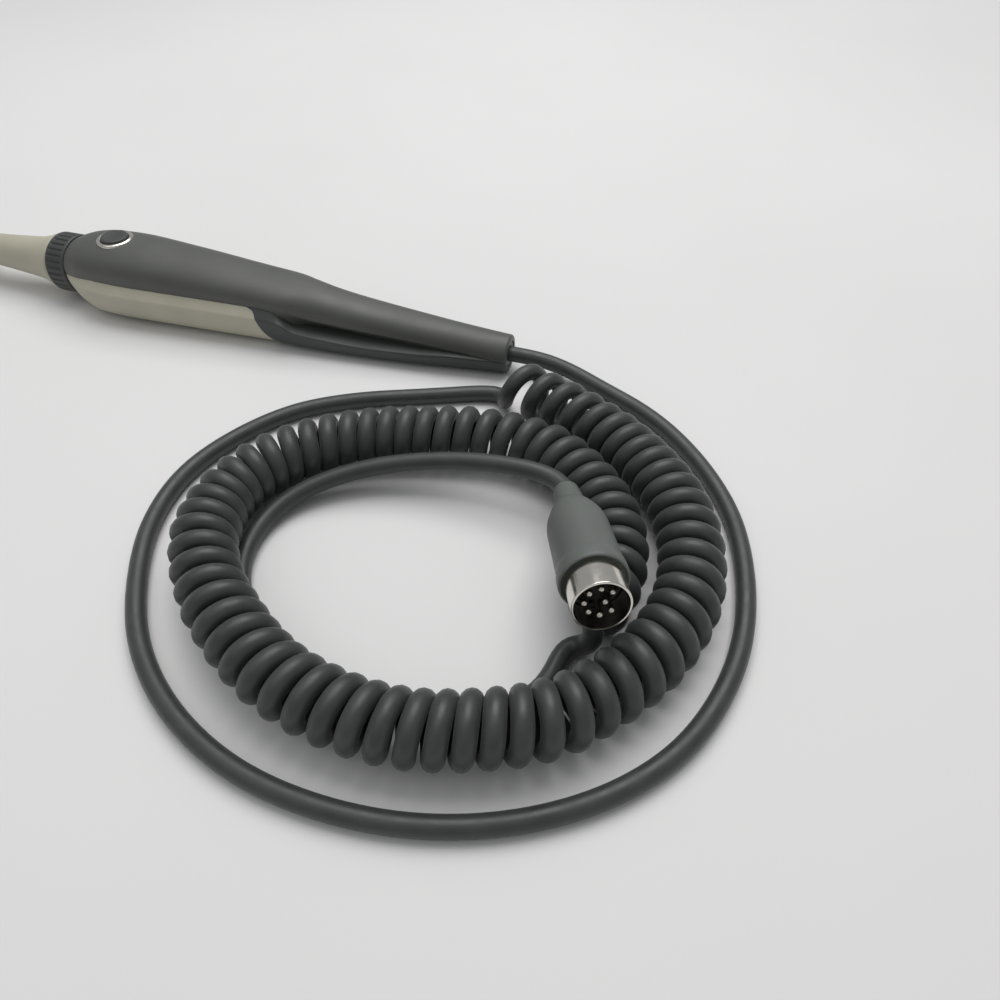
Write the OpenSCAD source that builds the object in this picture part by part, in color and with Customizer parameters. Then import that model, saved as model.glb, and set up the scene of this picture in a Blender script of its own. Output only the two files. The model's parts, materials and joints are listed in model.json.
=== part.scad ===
// Intraoral camera handpiece with its curly cord and round connector plug.
// +X runs from the camera head to the cord, +Z is up, and the flat of the belly rests on z = 0.

/* [Handpiece] */
// Overall length of the handpiece
body_len = 220; // [218:1:222]
// Height of the optical axis above the belly
axis_z = 11.8; // [11.6:0.1:12]
// Wall thickness of the casing shells
wall = 1.6; // [1.4:0.1:1.8]
// Radius of the round tail end
tail_r = 6.1; // [6:0.1:6.2]
// Height of the middle of the tail end
tail_z = 6.6; // [6.5:0.1:6.7]

/* [Focus ring] */
// Outer radius of the focus ring
ring_r = 10.5; // [10.2:0.1:10.6]
// Width of the focus ring along the axis
ring_w = 8; // [7:0.5:8]
// Radius of the seat that the ring turns on
seat_r = 8.5; // [8.4:0.1:8.6]
// Running clearance between turning or sliding parts and their seats
run_gap = 0.05; // [0.04:0.01:0.08]
// Number of grip flutes round the ring
ring_flutes = 30; // [20:1:36]
// Lens travel for each radian that the ring turns
focus_lead = 1.5; // [1.2:0.1:1.6]

/* [Capture button] */
// Distance of the button from the middle of the handpiece
button_x = -35; // [-36:0.5:-34]
// Radius of the button cap
button_r = 4.6; // [4.2:0.1:4.8]
// Height of the top of the button at rest
button_top = 25.9; // [25.7:0.1:26.1]

/* [Cord] */
// Diameter of the cord
cord_d = 5; // [4.8:0.1:5]
// Outer diameter of the curly stretch
coil_d = 17.8; // [17.4:0.1:18.2]
// Loss of coil radius at each of the last points of its route
coil_shrink = 0.4; // [0.38:0.01:0.42]
// Number of sides of a cord tube
cord_sides = 10; // [8:1:12]

/* [Plug] */
// Overall length of the plug
plug_len = 45; // [44:0.5:46]
// Outer radius of the plug's metal skirt
skirt_r = 6.6; // [6.5:0.05:6.7]
// Largest radius of the moulded grip
grip_r = 8.05; // [7.9:0.05:8.1]
// Radius of the circle that the contact pins stand on
pin_circle_r = 3.5; // [3.4:0.1:3.6]
// Radius of a contact pin
pin_r = 0.72; // [0.7:0.01:0.75]
// Turn of the plug about the vertical
plug_yaw = -67.5; // [-68:0.5:-67]
// Tilt of the plug's face above the horizontal
plug_pitch = 14; // [13.5:0.5:14.5]

/* [Hidden] */
$fn = 48;
eps = 0.01;
far = 60;

// Places along the handpiece
tail_x = body_len / 2;
nose_x = -body_len / 2;
front_x = -53;
ring_front_x = front_x - 0.3 - ring_w;
flange_x = ring_front_x - 0.3;
head_x = nose_x + 6.4;
neck_end_x = -98;
spigot_end_x = -43;
cavity_front_x = -47;
cavity_back_x = 103;
cord_exit_x = tail_x - 0.8;
clamp_x = 88;
grommet_r = 4.2;
clamp_z = 4;
clamp_screw_y = 4.75;
pin_x = ring_front_x + ring_w / 2;
carriage_r = 6.8;
lens_seat_r = 5;

// Cord radii and the plug's pose
cord_r = cord_d / 2;
coil_r = coil_d / 2;
plug_at = [143.7, -63.9, 15.1];
plug_axis = [
    cos(plug_pitch) * cos(plug_yaw),
    cos(plug_pitch) * sin(plug_yaw),
    sin(plug_pitch)
];

// Casing outline: each row is a place along the handpiece and the value there.
// Half width of the lower body
TRAY_HALF = [
    [-53, 10], [-50, 11.9], [-46, 13.9], [-40, 15.4], [-30, 16.1], [-15, 15.5],
    [0, 14.7], [20, 13.5], [36, 12.6], [47, 12], [63, 10.9], [78, 9.6], [93, 8],
    [104, 6.6], [109.3, 6.1], [110, 5.5]
];
// Height of the top of the side wall
WALL_TOP = [
    [-53, 11.8], [-46, 12], [-40, 12.1], [-27, 12], [23, 11.4], [36, 11.2],
    [36.4, 7.8], [47, 7], [63, 6.1], [78, 6.3], [93, 7.1], [110, 6.6]
];
// Half width at the parting line of the upper cover
SHELF_HALF = [
    [-53, 9.85], [-50, 11], [-46, 12.2], [-40, 12.9], [-30, 13.3], [-15, 12.7],
    [0, 11.9], [20, 10.7], [36, 9.9], [36.4, 9.7], [38, 8.4], [41, 7.2],
    [45, 6.6], [60, 6.3], [93, 6.3], [104, 6.2], [109.3, 6.05], [110, 5.45]
];
// Height of the parting line
SHELF_Z = [
    [-53, 13.5], [-46, 14.4], [-40, 14.9], [-27, 14.8], [23, 14.1], [36, 13.9],
    [36.4, 8.6], [47, 7.9], [63, 7.1], [78, 7.1], [93, 7.6], [104, 7.2], [110, 6.9]
];
// Height at which the crown of the cover starts to curve in
CROWN_BASE = [
    [-53, 13.9], [-46, 14.9], [-40, 15.5], [-27, 15.4], [23, 14.7], [36, 14.5],
    [36.4, 13.9], [45, 12], [60, 11], [78, 9.5], [93, 8.4], [104, 7.7], [110, 7.2]
];
// Height of the crown
CROWN_TOP = [
    [-53, 21.8], [-50, 23], [-46, 24.1], [-40, 24.8], [-30, 24.9], [-6, 23.4],
    [17, 21.3], [36, 19.6], [41, 19], [48, 17.8], [58, 16.5], [75, 14.9],
    [93, 13.6], [104, 12.9], [109.3, 12.7], [110, 12.1]
];
// Height of the underside
FLOOR = [[-53, 1.8], [-50, 1], [-46, 0.4], [-40, 0], [93, 0], [104, 0.3], [109.3, 0.5], [110, 1.1]];
// Squareness of the lower corners and of the crown: 2 is round
TRAY_POWER = [[-53, 2], [-46, 2.5], [-40, 3], [36, 3.2], [60, 3.4], [78, 3], [93, 2.6], [104, 2.05], [110, 2]];
CROWN_POWER = [[-53, 2], [-46, 2.2], [-30, 2.4], [60, 2.4], [93, 2.1], [110, 2]];
// Sections of the casing and of its cavity
STATIONS = [
    -53, -50, -46, -40, -30, -15, 0, 20, 36, 36.4, 38, 41, 45, 52, 60, 70, 78, 86,
    93, 99, 104, 109.3, 110
];
CAVITY_STATIONS = [
    cavity_front_x, -43, -38, -30, -15, 0, 20, 34.4, 34.8, 38, 41, 45, 52, 60, 70,
    78, 86, 93, 98, cavity_back_x
];
// Side outline of the line between the pale lower shell and the tail shell
SPLIT = [[20.5, 16], [20.5, 14.3], [23.3, 12.6], [24, 11.4], [25.5, 7.5], [28, 3], [29, -1]];
// Screws that hold the lower shells to the cover, and the posts under the board
SHELL_SCREWS = [[-18, 10], [12, 9.9], [33, 7.6]];
BOARD_POSTS = [[-24, 5], [22, 5]];
board_z = 6;
board_t = 1.2;
board_top = board_z + board_t;
flange_z = 22.2;

// Route of the cord from the tail end to the start of the curly stretch
LEAD = [
    [cord_exit_x, 0, tail_z], [112.5, 0, tail_z], [118, 0.8, 6.1], [125, 1, 5],
    [133, -0.8, 3.8], [142, -4.5, 2.8], [152, -9, 2.5], [162, -15.5, 2.5],
    [172, -25, 2.5], [180.5, -36, 2.5], [187, -48, 2.5], [191, -61.5, 2.5],
    [193, -75, 2.5], [193, -88.5, 2.5], [190, -103, 2.5], [183, -118.5, 2.5],
    [171, -132, 2.5], [154, -143, 2.5], [133.5, -150, 2.5], [112.5, -152, 2.5],
    [92, -149.5, 2.5], [72.5, -141.5, 2.5], [56.5, -129, 2.5], [45, -113, 2.5],
    [37, -95, 2.5], [35.5, -76.5, 2.5], [41.5, -59, 2.5], [53, -43, 2.5],
    [69, -32.5, 2.5], [84.5, -26, 2.5], [97, -21, 2.5], [105, -17.5, 2.5],
    [110.6, -16.1, 2.7], [113.5, -17, 2.9]
];
// Route of the middle of the curly stretch; it is raised where it lies on the plain cord
COIL = [
    [113.5, -17, 8.9], [123, -20.3, 8.9], [134, -24.4, 8.9], [147.8, -31.4, 8.9],
    [160.6, -40.9, 8.9], [171, -52.8, 8.9], [177, -67.1, 8.9], [178.5, -83, 8.9],
    [174.5, -98.2, 8.9], [166.5, -111.6, 9.3], [155.3, -123.6, 10.6], [141.2, -130.8, 11.1],
    [126, -134.8, 10.9], [110.8, -134.9, 11], [96, -131.7, 11.6], [82.4, -124.6, 12.4],
    [70.6, -115.3, 12.6], [60.6, -102.2, 11.4], [56.6, -85.5, 9.1], [61.6, -71.2, 8.9],
    [72.4, -60, 8.9], [86.2, -52, 8.9], [101, -47, 8.9], [116.5, -43.4, 8.9],
    [132.5, -44.1, 8.9], [146.3, -51.7, 8.5], [156.6, -63.4, 8.1], [161, -77.5, 7.7],
    [159.4, -91.2, 7.3], [153.5, -101, 6.9]
];
shrink_from = 24;
// Route of the cord from the end of the curly stretch to the plug
TAIL = [
    [153.5, -101, 2.8], [152.9, -104, 2.7], [152.5, -107.5, 2.5], [151.9, -112, 2.5],
    [149, -117, 2.5], [143.5, -121, 2.5], [138.3, -123.4, 2.5], [125, -126.8, 2.5],
    [111.6, -127.1, 2.5], [98.2, -125.1, 2.5], [85.1, -119.8, 2.5], [74, -111.4, 2.5],
    [67.3, -100, 2.5], [66.2, -87.5, 3], [70.6, -77.2, 4.5], [79.5, -69, 6.5],
    [91.3, -62.8, 8.5], [105.2, -58.8, 10.5], [119, -57.3, 12.5], [131, -57.8, 14],
    [138.5, -58.9, 14.7],
    plug_at - 3 * plug_axis, plug_at
];

// ---------- shared shapes ----------

// A closed skin over rings of the same number of points
module skin(rings) {
    n = len(rings[0]);
    m = len(rings);
    sides = [
        for (i = [0:m - 2], j = [0:n - 1])
            [i * n + j, (i + 1) * n + j, (i + 1) * n + (j + 1) % n, i * n + (j + 1) % n]
    ];
    first = [for (j = [0:n - 1]) j];
    last = [for (j = [n - 1:-1:0]) (m - 1) * n + j];
    polyhedron(points = [for (r = rings, p = r) p], faces = concat(sides, [first, last]));
}

function unit(v) = v / norm(v);

// Direction of a route at its point i
function heading(route, i) = unit(route[min(i + 1, len(route) - 1)] - route[max(i - 1, 0)]);

// Ring of a tube, square to its route
function tube_ring(p, dir, r, sides) =
    let (across = unit(cross([0, 0, 1], dir)), up = cross(dir, across))
    [for (k = [0:sides - 1]) p + r * (cos(k * 360 / sides) * across + sin(k * 360 / sides) * up)];

// Tube along a route, with a radius for each of its points
module tube_along(route, radii, sides) {
    skin([for (i = [0:len(route) - 1]) tube_ring(route[i], heading(route, i), radii[i], sides)]);
}

// Cylinder along the optical axis from x0 to x1
module rod_x(x0, x1, r, z = axis_z) {
    translate([x0, 0, z]) rotate([0, 90, 0]) cylinder(r = r, h = x1 - x0);
}

// Tube along the optical axis from x0 to x1
module ring_x(x0, x1, r, bore) {
    difference() {
        rod_x(x0, x1, r);
        rod_x(x0 - 1, x1 + 1, bore);
    }
}

// Straight bar from one corner to another
module bar(low, high) {
    translate(low) cube(high - low);
}

// Children at +y and at -y
module both_sides() {
    children();
    mirror([0, 1, 0]) children();
}

// ---------- casing sections ----------

// Right half of the lower body's section, from the belly to the end of its round corner
function tray_half(x, inset) =
    let (
        half = lookup(x, TRAY_HALF) - inset,
        top = lookup(x, WALL_TOP) - 0.4 * inset,
        low = lookup(x, FLOOR) + inset,
        power = lookup(x, TRAY_POWER)
    )
    [for (a = [75:-15:0]) [
        half * pow(cos(a), 2 / power),
        max(low, top - (top - low + 0.5) * pow(sin(a), 2 / power))
    ]];

// Right half of the cover's section, from the start of the crown's curve to near its top
function crown_half(x, inset) =
    let (
        half = lookup(x, SHELF_HALF) - inset,
        base = lookup(x, CROWN_BASE),
        top = lookup(x, CROWN_TOP) - inset,
        power = lookup(x, CROWN_POWER)
    )
    [for (a = [0:15:75]) [
        half * pow(cos(a), 2 / power),
        base + (top - base) * pow(sin(a), 2 / power)
    ]];

// Point of the right half at the parting line
function shelf_point(x, inset) = [
    lookup(x, SHELF_HALF) - inset,
    (inset > 0 ? min(lookup(x, SHELF_Z), lookup(x + inset, SHELF_Z)) : lookup(x, SHELF_Z)) - inset
];

// Whole ring of a section: its right half, the points on the middle line, and its left half
function whole_ring(x, half, middle) = concat(
    [for (p = half) [x, p[0], p[1]]],
    middle,
    [for (i = [len(half) - 1:-1:0]) [x, -half[i][0], half[i][1]]]
);
function crown_point(x, inset) = [[x, 0, lookup(x, CROWN_TOP) - inset]];
function tray_ring(x) = whole_ring(x, concat(tray_half(x, 0), [shelf_point(x, 0)]), []);
function crown_ring(x) =
    whole_ring(x, concat([shelf_point(x, 0)], crown_half(x, 0)), crown_point(x, 0));
function cavity_ring(x) = whole_ring(
    x,
    concat(tray_half(x, wall), [shelf_point(x, wall)], crown_half(x, wall)),
    crown_point(x, wall)
);

// Ring of the bush's hole, with as many points as a cavity ring
function bush_ring(x) =
    let (n = len(cavity_ring(x)), r = grommet_r + 0.05)
    [for (k = [0:n - 1])
        let (a = (k + 0.5) * 360 / n - 90)
        [x, r * cos(a), tail_z + r * sin(a)]];

module tray_body() {
    skin([for (x = STATIONS) tray_ring(x)]);
}
module crown_body() {
    skin([for (x = STATIONS) crown_ring(x)]);
}
// Space inside the casing, across both shells, with the hole for the cord's bush
module cavity() {
    skin(concat(
        [for (x = CAVITY_STATIONS) cavity_ring(x)],
        [for (x = [cavity_back_x, tail_x + 1]) bush_ring(x)]
    ));
}

// Hole that the neck passes through
module neck_hole() {
    rod_x(front_x - 1, cavity_front_x + 1, 7.5);
}

// Lower half of the casing, from one end to the other
module tray() {
    difference() {
        tray_body();
        difference() {
            cavity();
            for (s = SHELL_SCREWS) both_sides() translate([s[0], s[1], 0]) cylinder(r = 2.6, h = far);
            for (s = BOARD_POSTS) both_sides() translate([s[0], s[1], 0]) cylinder(r = 2, h = board_z);
            bar([clamp_x - 4, -far, 0], [clamp_x + 4, far, clamp_z]);
        }
        both_sides() translate([clamp_x, clamp_screw_y, 2]) cylinder(r = 0.7, h = 4);
        neck_hole();
        for (s = SHELL_SCREWS) both_sides() translate([s[0], s[1], 0]) {
            translate([0, 0, -1]) cylinder(r = 1.9, h = 5.6);
            cylinder(r = 0.9, h = far);
        }
        for (s = BOARD_POSTS) both_sides() translate([s[0], s[1], 2.5]) cylinder(r = 0.7, h = 4);
    }
}

// Region in front of the line between the two lower shells
module front_region() {
    translate([0, far / 2, 0]) rotate([90, 0, 0]) linear_extrude(far)
        polygon(concat([[-80, -1], [-80, 16]], SPLIT));
}

// ---------- casing ----------

module upper_cover() {
    color("#62635d") difference() {
        crown_body();
        difference() {
            cavity();
            for (s = SHELL_SCREWS) both_sides() translate([s[0], s[1], 0]) cylinder(r = 2.2, h = far);
            translate([button_x, 0, 21.5]) cylinder(r = 7.4, h = far);
        }
        neck_hole();
        for (s = SHELL_SCREWS) both_sides() translate([s[0], s[1], 0]) cylinder(r = 0.9, h = 17);
        translate([button_x, 0, 10]) cylinder(r = 5.6, h = far);
        translate([button_x, 0, 23.3]) cylinder(r = 6.2, h = far);
    }
}
module lower_shell() {
    color("#a6a391") intersection() {
        tray();
        front_region();
    }
}
module tail_shell() {
    color("#50544f") difference() {
        tray();
        front_region();
    }
}
module shell_screws() {
    color("silver") for (s = SHELL_SCREWS) both_sides() translate([s[0], s[1], 2.6]) {
        difference() {
            cylinder(r = 1.9, h = 2);
            translate([0, 0, -1]) cylinder(r = 0.9, h = 2, $fn = 6);
        }
        translate([0, 0, 2]) cylinder(r = 0.9, h = 11.9);
    }
}

// ---------- neck and head ----------

module neck_tube() {
    color("#9a9a90") difference() {
        union() {
            rod_x(front_x, spigot_end_x, 7.5);
            rod_x(flange_x, front_x, seat_r);
            rod_x(flange_x - 2.4, flange_x, 9.6);
            translate([flange_x - 2.4, 0, axis_z]) rotate([0, -90, 0]) cylinder(r1 = 9, r2 = 7.4, h = 6);
            translate([flange_x - 8.4, 0, axis_z]) rotate([0, -90, 0])
                cylinder(r1 = 7.4, r2 = 5.4, h = flange_x - 8.4 - neck_end_x);
            rod_x(neck_end_x - 3, neck_end_x, 4.7);
        }
        rod_x(-66, spigot_end_x + 1, carriage_r + run_gap);
        rod_x(neck_end_x - 4, -97, 2.8);
        rod_x(-97, -65, 4);
        translate([head_x, 0, axis_z + 2.6]) cylinder(r = 3, h = 3);
        translate([head_x, 0, axis_z + 3.1]) cylinder(r = 4.9, h = 3);
        bar([pin_x - 1, -12, axis_z + 3.4], [pin_x + 1, 12, far]);
        bar([-64.5, -0.8, axis_z - 7.2], [spigot_end_x + 1, 0.8, axis_z - 6]);
        ring_x(-54.8, -53.8, 10, 7.7);
    }
}
module guide_key() {
    color("silver") bar([-64.5, -0.8, axis_z - 7.2], [spigot_end_x, 0.8, axis_z - 6.2]);
}
module ring_seal() {
    color("#202020") translate([-54.3, 0, axis_z]) rotate([0, 90, 0])
        rotate_extrude() translate([8.1, 0]) circle(r = 0.38);
}
module head_housing() {
    color("#9a9a90") difference() {
        hull() {
            translate([head_x, 0, axis_z - 3.4]) cylinder(r = 6.4, h = 6.8);
            translate([head_x, 0, axis_z - 5]) cylinder(r = 5.3, h = 10);
            rod_x(neck_end_x - 0.4, neck_end_x, 5.4);
        }
        rod_x(neck_end_x - 3, neck_end_x + 1, 4.7);
        bar([head_x - 2.2, -2.15, axis_z - 2.1], [neck_end_x - 2, 2.15, axis_z + 2.1]);
        translate([head_x, 0, axis_z]) cylinder(r = 2.1, h = 3);
        translate([head_x, 0, axis_z + 2.6]) cylinder(r = 2.9, h = 3);
        translate([head_x, 0, axis_z + 3.1]) cylinder(r = 4.8, h = 3);
        bar([neck_end_x, -10, 0], [neck_end_x + 2, 10, far]);
    }
}
module window_bezel() {
    color("silver") translate([head_x, 0, axis_z + 2.6]) difference() {
        cylinder(r = 2.9, h = 2.5);
        translate([0, 0, -1]) cylinder(r = 2.3, h = 5);
    }
}
module lens_window() {
    color("#dfeaf0") translate([head_x, 0, axis_z + 4.2]) cylinder(r = 2.3, h = 0.7);
}
module led_board() {
    color("darkgreen") translate([head_x, 0, axis_z + 3.1]) difference() {
        cylinder(r = 4.8, h = 0.5);
        translate([0, 0, -1]) cylinder(r = 2.9, h = 3);
    }
}
module leds() {
    color("lightyellow") for (k = [0:7]) translate([head_x, 0, axis_z + 3.6])
        rotate([0, 0, k * 45]) translate([3.85, 0, 0]) cylinder(r = 0.6, h = 0.7);
}
module light_ring() {
    color("white") translate([head_x, 0, axis_z + 4.3]) difference() {
        cylinder(r = 4.8, h = 0.7);
        translate([0, 0, -1]) cylinder(r = 2.9, h = 3);
    }
}
module prism() {
    color("#cfe4ee") translate([0, 2.1, 0]) rotate([90, 0, 0]) linear_extrude(4.2) polygon([
        [head_x - 2.1, axis_z + 2.1], [head_x + 2.1, axis_z + 2.1], [head_x + 2.1, axis_z - 2.1]
    ]);
}
module objective_lens() {
    color("#cfe4ee") rod_x(neck_end_x - 2.6, neck_end_x - 0.6, 2.8);
}
module relay_lenses() {
    color("#cfe4ee") for (x = [-97, -82]) rod_x(x, x + 11, 4);
}
module relay_spacers() {
    color("#303030") {
        ring_x(-86, -82, 4, 3.2);
        ring_x(-71, -66, 4, 3.2);
    }
}

// ---------- focusing ----------

module focus_ring() {
    color("#3c3f3d") difference() {
        rod_x(ring_front_x, ring_front_x + ring_w, ring_r);
        rod_x(ring_front_x - 1, front_x + 1, seat_r + run_gap);
        for (k = [0:ring_flutes - 1]) translate([0, 0, axis_z]) rotate([k * 360 / ring_flutes, 0, 0])
            translate([0, 0, -axis_z]) rod_x(ring_front_x + 1, ring_front_x + ring_w - 1, 0.5, axis_z + ring_r);
        translate([pin_x, 0, axis_z]) cylinder(r = 0.7, h = 9.7);
    }
}
module cam_pin() {
    color("silver") translate([pin_x, 0, axis_z + 6.1]) cylinder(r = 0.7, h = 3.6);
}
module lens_carriage() {
    color("#b8b8b4") difference() {
        rod_x(-62.5, -50.5, carriage_r);
        rod_x(-63, -50, lens_seat_r - 0.7);
        rod_x(lens_x - lens_edge / 2, -50, lens_seat_r);
        for (a = [-54:6:54]) translate([pin_x - focus_lead * a * PI / 180, 0, axis_z]) rotate([a, 0, 0])
            translate([0, 0, 5.85]) cylinder(r = 1, h = 3);
        bar([-63, -1.1, axis_z - 8], [-50, 1.1, axis_z - 5.9]);
    }
}
// Biconvex lens of one radius on both faces
lens_x = -57;
lens_edge = 1.5;
lens_curve = 15;
lens_clear_r = 4.2;
function bulge(r) = lens_edge / 2 + sqrt(pow(lens_curve, 2) - r * r)
    - sqrt(pow(lens_curve, 2) - pow(lens_clear_r, 2));
module focus_lens() {
    color("#cfe4ee") translate([lens_x, 0, axis_z]) rotate([0, 90, 0]) rotate_extrude() polygon(concat(
        [for (r = [0:0.7:lens_clear_r]) [r, bulge(r)]],
        [[lens_seat_r, lens_edge / 2], [lens_seat_r, -lens_edge / 2]],
        [for (r = [lens_clear_r:-0.7:0]) [r, -bulge(r)]]
    ));
}
module lens_retainer() {
    color("#303030") ring_x(lens_x + lens_edge / 2, lens_x + lens_edge / 2 + 1.5, lens_seat_r, 4.2);
}

// ---------- electronics ----------

module sensor_mount() {
    color("#303030") difference() {
        rod_x(spigot_end_x, -40.5, 9);
        bar([-50, -4, axis_z - 4], [-30, 4, axis_z + 4]);
    }
}
module image_sensor() {
    color("#1d2a33") bar([-41.9, -3.6, axis_z - 3.2], [-40.5, 3.6, axis_z + 3.2]);
}
module sensor_board() {
    color("darkgreen") bar([-40.5, -7.4, axis_z - 7.4], [-39.3, 7.4, axis_z + 7.4]);
}
module flex_cable() {
    color("#b5651d") translate([0, 4, 0]) rotate([90, 0, 0]) linear_extrude(8) polygon([
        [-39.3, 12], [-39, 12], [-39, board_top + 0.3], [-38.2, board_top + 0.3],
        [-38.2, board_top], [-39.3, board_top]
    ]);
}
module main_board() {
    color("darkgreen") difference() {
        bar([-38.9, -7.1, board_z], [29, 7.1, board_top]);
        for (s = BOARD_POSTS) both_sides() translate([s[0], s[1], 0]) cylinder(r = 0.7, h = far);
    }
}
module board_chips() {
    color("#202020") {
        bar([-16, -5, board_top], [-4, 5, board_top + 1.4]);
        bar([1, -3.5, board_top], [8, 3.5, board_top + 1]);
        bar([12, -2, board_top], [16, 2, board_top + 1.8]);
        for (y = [-5.6, 3.6]) bar([11, y, board_top], [14.5, y + 2, board_top + 1.1]);
    }
}
module board_screws() {
    color("silver") for (s = BOARD_POSTS) both_sides() translate([s[0], s[1], 2.5]) {
        cylinder(r = 0.7, h = board_top - 2.5);
        translate([0, 0, board_top - 2.5]) cylinder(r = 1.4, h = 1.1);
    }
}
module board_connector() {
    color("ivory") bar([29, -4.2, 4.2], [35, 4.2, 9.4]);
}
module inner_wires() {
    color("#8a2b2b") for (k = [0:5])
        translate([35, 1.4 * cos(k * 60), tail_z + 1.4 * sin(k * 60)])
            rotate([0, 90, 0]) cylinder(r = 0.5, h = 45, $fn = 24);
}

// ---------- capture button ----------

module tactile_switch() {
    color("#c9c9c4") difference() {
        bar([button_x - 3, -3, board_top], [button_x + 3, 3, board_top + 3.5]);
        translate([button_x, 0, board_top + 1]) cylinder(r = 1.7, h = 5);
    }
}
module switch_plunger() {
    color("#202020") translate([button_x, 0, board_top + 2.6]) cylinder(r = 1.4, h = 2.8);
}
module button_spring() {
    color("silver") translate([button_x, 0, board_top + 3.5]) difference() {
        cylinder(r = 2.9, h = flange_z - board_top - 3.55);
        translate([0, 0, -1]) cylinder(r = 2.1, h = 14);
    }
}
module capture_button() {
    color("#3c3f3d") translate([button_x, 0, 0]) {
        translate([0, 0, board_top + 5.4]) cylinder(r = 1.5, h = flange_z - board_top - 5.4);
        translate([0, 0, flange_z]) cylinder(r = 5.3, h = 0.8);
        translate([0, 0, flange_z + 0.8]) cylinder(r = button_r, h = button_top - flange_z - 1.3);
        translate([0, 0, button_top - 0.5]) cylinder(r1 = button_r, r2 = button_r - 0.6, h = 0.5);
    }
}
module button_bezel() {
    color("silver") translate([button_x, 0, 23.3]) difference() {
        cylinder(r = 6.2, h = 1.9);
        translate([0, 0, -1]) cylinder(r = button_r + run_gap, h = 4);
    }
}

// ---------- cord ----------

module cord_inner_end() {
    color("#3b3e3c") rod_x(80, cord_exit_x, cord_r, tail_z);
}
module cord_clamp() {
    color("silver") difference() {
        union() {
            bar([clamp_x - 4, -6.1, clamp_z], [clamp_x + 4, 6.1, clamp_z + 1]);
            intersection() {
                rod_x(clamp_x - 4, clamp_x + 4, 3.7, tail_z);
                bar([clamp_x - 5, -5, clamp_z], [clamp_x + 5, 5, far]);
            }
        }
        rod_x(clamp_x - 5, clamp_x + 5, cord_r, tail_z);
        both_sides() translate([clamp_x, clamp_screw_y, 0]) cylinder(r = 0.7, h = far);
    }
}
module clamp_screws() {
    color("silver") both_sides() translate([clamp_x, clamp_screw_y, 2]) {
        cylinder(r = 0.7, h = clamp_z - 1);
        translate([0, 0, clamp_z - 1]) cylinder(r = 0.95, h = 0.6);
    }
}
module cord_grommet() {
    color("#202020") difference() {
        union() {
            rod_x(99, cavity_back_x, 4.5, tail_z);
            rod_x(cavity_back_x, cord_exit_x, grommet_r, tail_z);
        }
        rod_x(98, tail_x + 1, cord_r, tail_z);
    }
}
module cord_lead() {
    color("#3b3e3c") tube_along(LEAD, [for (p = LEAD) cord_r], cord_sides);
}
module cord_coil() {
    radii = [for (i = [0:len(COIL) - 1]) coil_r - coil_shrink * max(0, i - shrink_from)];
    color("#3b3e3c") tube_along(COIL, radii, 12);
}
module cord_tail() {
    color("#3b3e3c") tube_along(TAIL, [for (p = TAIL) cord_r], cord_sides);
}

// ---------- plug ----------

// Children drawn along +Z, laid along the plug's axis
module in_plug() {
    translate(plug_at) rotate([0, 90 - plug_pitch, plug_yaw]) children();
}
skirt_from = 28;
rim_at = plug_len - 7.5;
module plug_body() {
    color("#5a5d58") in_plug() rotate_extrude() polygon([
        [cord_r, 0], [3.4, 0], [4.2, 8], [5, 9.5], [7.5, 15], [grip_r - 0.25, rim_at - 4],
        [grip_r, rim_at - 2.5], [grip_r, rim_at - 0.8], [grip_r - 0.8, rim_at],
        [skirt_r - 0.2, rim_at], [skirt_r - 0.2, skirt_from], [4, skirt_from], [4, 21],
        [3.2, 21], [3.2, 14], [cord_r, 14]
    ]);
}
module plug_ferrule() {
    color("silver") in_plug() translate([0, 0, 14]) difference() {
        cylinder(r = 3.2, h = 7);
        translate([0, 0, -1]) cylinder(r = cord_r, h = 9);
    }
}
module plug_cord_end() {
    color("#3b3e3c") in_plug() cylinder(r = cord_r, h = 22);
}
module plug_wires() {
    color("#8a2b2b") in_plug() for (k = [0:5]) rotate([0, 0, k * 60])
        translate([1.4, 0, 22]) cylinder(r = 0.5, h = skirt_from - 22, $fn = 24);
}
module plug_shell() {
    color("silver") in_plug() difference() {
        union() {
            translate([0, 0, skirt_from]) cylinder(r = skirt_r - 0.2, h = plug_len - skirt_from);
            translate([0, 0, rim_at]) cylinder(r = skirt_r, h = plug_len - rim_at);
        }
        translate([0, 0, skirt_from - 1]) cylinder(r = skirt_r - 0.5, h = far);
    }
}
module plug_insert() {
    color("#141414") in_plug() difference() {
        translate([0, 0, skirt_from]) cylinder(r = skirt_r - 0.5, h = 10);
        for (p = pin_places()) translate([p[0], p[1], skirt_from + 1]) cylinder(r = pin_r, h = 20);
        translate([-1.1, 4.7, rim_at - 2]) cube([2.2, 3, 5]);
    }
}
// Seven pins on a circle with a gap at the keyway, and one near the middle
function pin_places() = concat(
    [for (k = [1:7]) pin_circle_r * [sin(k * 45), cos(k * 45)]],
    [[0, 0.7]]
);
module plug_pins() {
    color("silver") in_plug() for (p = pin_places())
        translate([p[0], p[1], skirt_from + 1]) cylinder(r = pin_r, h = plug_len - skirt_from - 2);
}

upper_cover();
lower_shell();
tail_shell();
neck_tube();
head_housing();
light_ring();
led_board();
leds();
window_bezel();
lens_window();
prism();
objective_lens();
relay_lenses();
relay_spacers();
guide_key();
ring_seal();
focus_ring();
cam_pin();
lens_carriage();
focus_lens();
lens_retainer();
sensor_mount();
image_sensor();
sensor_board();
flex_cable();
main_board();
board_chips();
board_screws();
board_connector();
tactile_switch();
switch_plunger();
capture_button();
button_bezel();
button_spring();
shell_screws();
inner_wires();
cord_inner_end();
cord_clamp();
clamp_screws();
cord_grommet();
cord_lead();
cord_coil();
cord_tail();
plug_body();
plug_shell();
plug_insert();
plug_pins();
plug_ferrule();
plug_cord_end();
plug_wires();
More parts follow.
